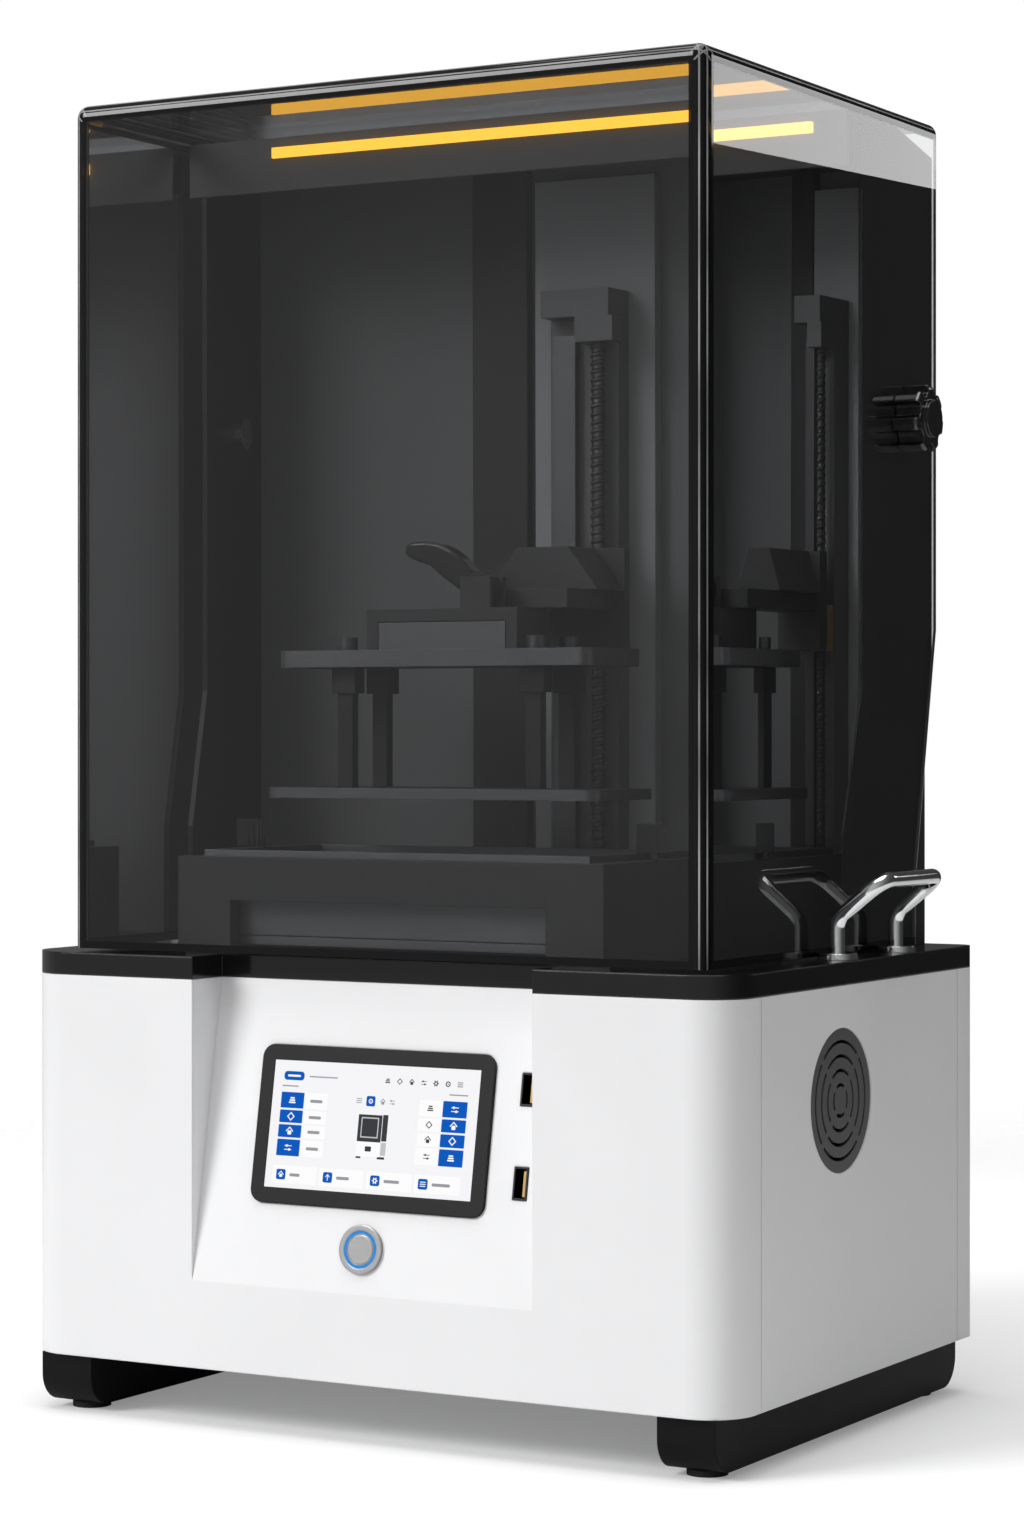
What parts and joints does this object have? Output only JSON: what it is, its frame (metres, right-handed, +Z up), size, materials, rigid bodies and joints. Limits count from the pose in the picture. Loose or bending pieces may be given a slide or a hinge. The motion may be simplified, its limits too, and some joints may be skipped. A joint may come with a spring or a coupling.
{
  "type": "resin 3d printer",
  "caption": "Desktop resin 3D printer: white cabinet with slanted touch screen, tinted flip-up hood, vat and screw-driven build platform.",
  "frame": {"origin": "middle of the four rubber pads, on the surface the printer stands on", "axes": "+Z up, -Y towards the user at the front, +X to the right seen from the front"},
  "size_m": [0.401, 0.264, 0.611],
  "materials": {
    "cabinet_white": "fine satin powder coat",
    "deck_black": "gloss black",
    "foot_black": "moulded satin black",
    "pad_rubber": "matt rubber",
    "sheet_steel": "zinc-plated sheet",
    "clear_glass": "polished",
    "screen_glass": "lit display",
    "bezel_black": "semi-gloss",
    "module_grey": "plain",
    "button_steel": "satin turned",
    "blue_light": "lit ring",
    "socket_steel": "blackened",
    "contact_brass": "plain",
    "grille_grey": "satin dark grey",
    "fan_black": "satin",
    "chrome": "polished",
    "hood_tint": "clear tinted acrylic",
    "bush_black": "plain",
    "bolt_steel": "plain",
    "knob_black": "gloss moulded",
    "housing_black": "satin black",
    "amber_light": "lit diffuser",
    "cover_grey": "satin grey",
    "duct_black": "plain",
    "column_dark": "black anodised",
    "rail_steel": "ground",
    "arm_dark": "dark anodised",
    "plate_metal": "bead blasted",
    "lever_black": "moulded",
    "frame_dark": "satin dark grey",
    "vat_metal": "dark anodised",
    "film_clear": "clear film",
    "board_green": "solder mask",
    "supply_metal": "perforated case",
    "engine_black": "moulded case",
    "motor_dark": "plain",
    "inlet_black": "plain",
    "rocker_black": "plain"
  },
  "bodies": {
    "base": {"front_fascia": "cabinet_white", "side_panel_left": "cabinet_white", "side_panel_right": "cabinet_white", "rear_cover": "cabinet_white", "base_pan": "sheet_steel", "runner_feet": "foot_black", "foot_pads": "pad_rubber", "deck_plate": "deck_black", "optical_window": "clear_glass", "screen_bezel": "bezel_black", "display_glass": "screen_glass", "display_module": "module_grey", "button_body": "button_steel", "button_light_ring": "blue_light", "usb_shells": "socket_steel", "usb_tongues": "contact_brass", "fan_grille": "grille_grey", "fan_frame": "fan_black", "handle_right": "chrome", "handle_left": "chrome", "handle_fixings": "chrome", "pivot_bolts": "bolt_steel", "housing_cheeks": "housing_black", "back_wall": "housing_black", "visor": "housing_black", "light_bar": "amber_light", "column_cover": "cover_grey", "cable_duct": "duct_black", "z_column": "column_dark", "column_cap": "duct_black", "linear_rail": "rail_steel", "z_motor": "motor_dark", "vat_frame": "frame_dark", "resin_vat": "vat_metal", "vat_film": "film_clear", "film_ring": "vat_metal", "light_engine": "engine_black", "power_supply": "supply_metal", "main_board": "board_green", "mains_inlet": "inlet_black"},
    "hood": {"hood": "hood_tint", "hood_bushes": "bush_black"},
    "platform": {"carriage_block": "rail_steel", "screw_nut": "contact_brass", "carriage_plate": "arm_dark", "arm": "arm_dark", "clamp_bracket": "arm_dark", "upper_plate": "plate_metal", "platform_posts": "arm_dark", "level_screws": "bolt_steel", "build_plate": "plate_metal"},
    "cam_lever": {"cam_lever": "lever_black"},
    "lead_screw": {"lead_screw": "rail_steel"},
    "star_knob_left": {"star_knob_left": "knob_black"},
    "star_knob_right": {"star_knob_right": "knob_black"},
    "thumb_knob_left": {"thumb_knob_left": "knob_black"},
    "thumb_knob_right": {"thumb_knob_right": "knob_black"},
    "fan_rotor": {"fan_rotor": "fan_black"},
    "power_button": {"button_cap": "button_steel"},
    "mains_rocker": {"mains_rocker": "rocker_black"}
  },
  "joints": [
    {"name": "hood_flip", "type": "hinge", "parent": "base", "child": "hood", "pos_m": [0, 0.092, 0.465], "axis": [-1, 0, 0], "range_deg": [0, 85]},
    {"name": "z_lift", "type": "slide", "parent": "base", "child": "platform", "axis": [0, 0, 1], "range_m": [-0.06, 0.095]},
    {"name": "screw_turn", "type": "hinge", "parent": "base", "child": "lead_screw", "pos_m": [0.044, 0.091, 0.3], "axis": [0, 0, 1], "continuous": true},
    {"name": "lever_swing", "type": "hinge", "parent": "platform", "child": "cam_lever", "pos_m": [0.018, 0, 0.3824], "axis": [0, 1, 0], "range_deg": [0, 75]},
    {"name": "star_knob_left_turn", "type": "hinge", "parent": "base", "child": "star_knob_left", "pos_m": [-0.17, 0.092, 0.465], "axis": [-1, 0, 0], "range_deg": [0, 360]},
    {"name": "star_knob_right_turn", "type": "hinge", "parent": "base", "child": "star_knob_right", "pos_m": [0.17, 0.092, 0.465], "axis": [1, 0, 0], "range_deg": [0, 360]},
    {"name": "thumb_left_turn", "type": "hinge", "parent": "base", "child": "thumb_knob_left", "pos_m": [-0.107, -0.016, 0.267], "axis": [0, 0, 1], "range_deg": [0, 720]},
    {"name": "thumb_right_turn", "type": "hinge", "parent": "base", "child": "thumb_knob_right", "pos_m": [0.107, -0.016, 0.267], "axis": [0, 0, 1], "range_deg": [0, 720]},
    {"name": "fan_spin", "type": "hinge", "parent": "base", "child": "fan_rotor", "pos_m": [0.17, -0.022, 0.153], "axis": [1, 0, 0], "continuous": true},
    {"name": "button_press", "type": "slide", "parent": "base", "child": "power_button", "axis": [0, 0.985, -0.1726], "range_m": [0, 0.0015], "stiffness_N_per_m": 900},
    {"name": "rocker_tilt", "type": "hinge", "parent": "base", "child": "mains_rocker", "pos_m": [-0.099, 0.128, 0.077], "axis": [1, 0, 0], "range_deg": [-8, 8]}
  ],
  "couplings": [
    {"joint": "screw_turn", "follows": "z_lift", "rad_per_m": 1570.8}
  ]
}
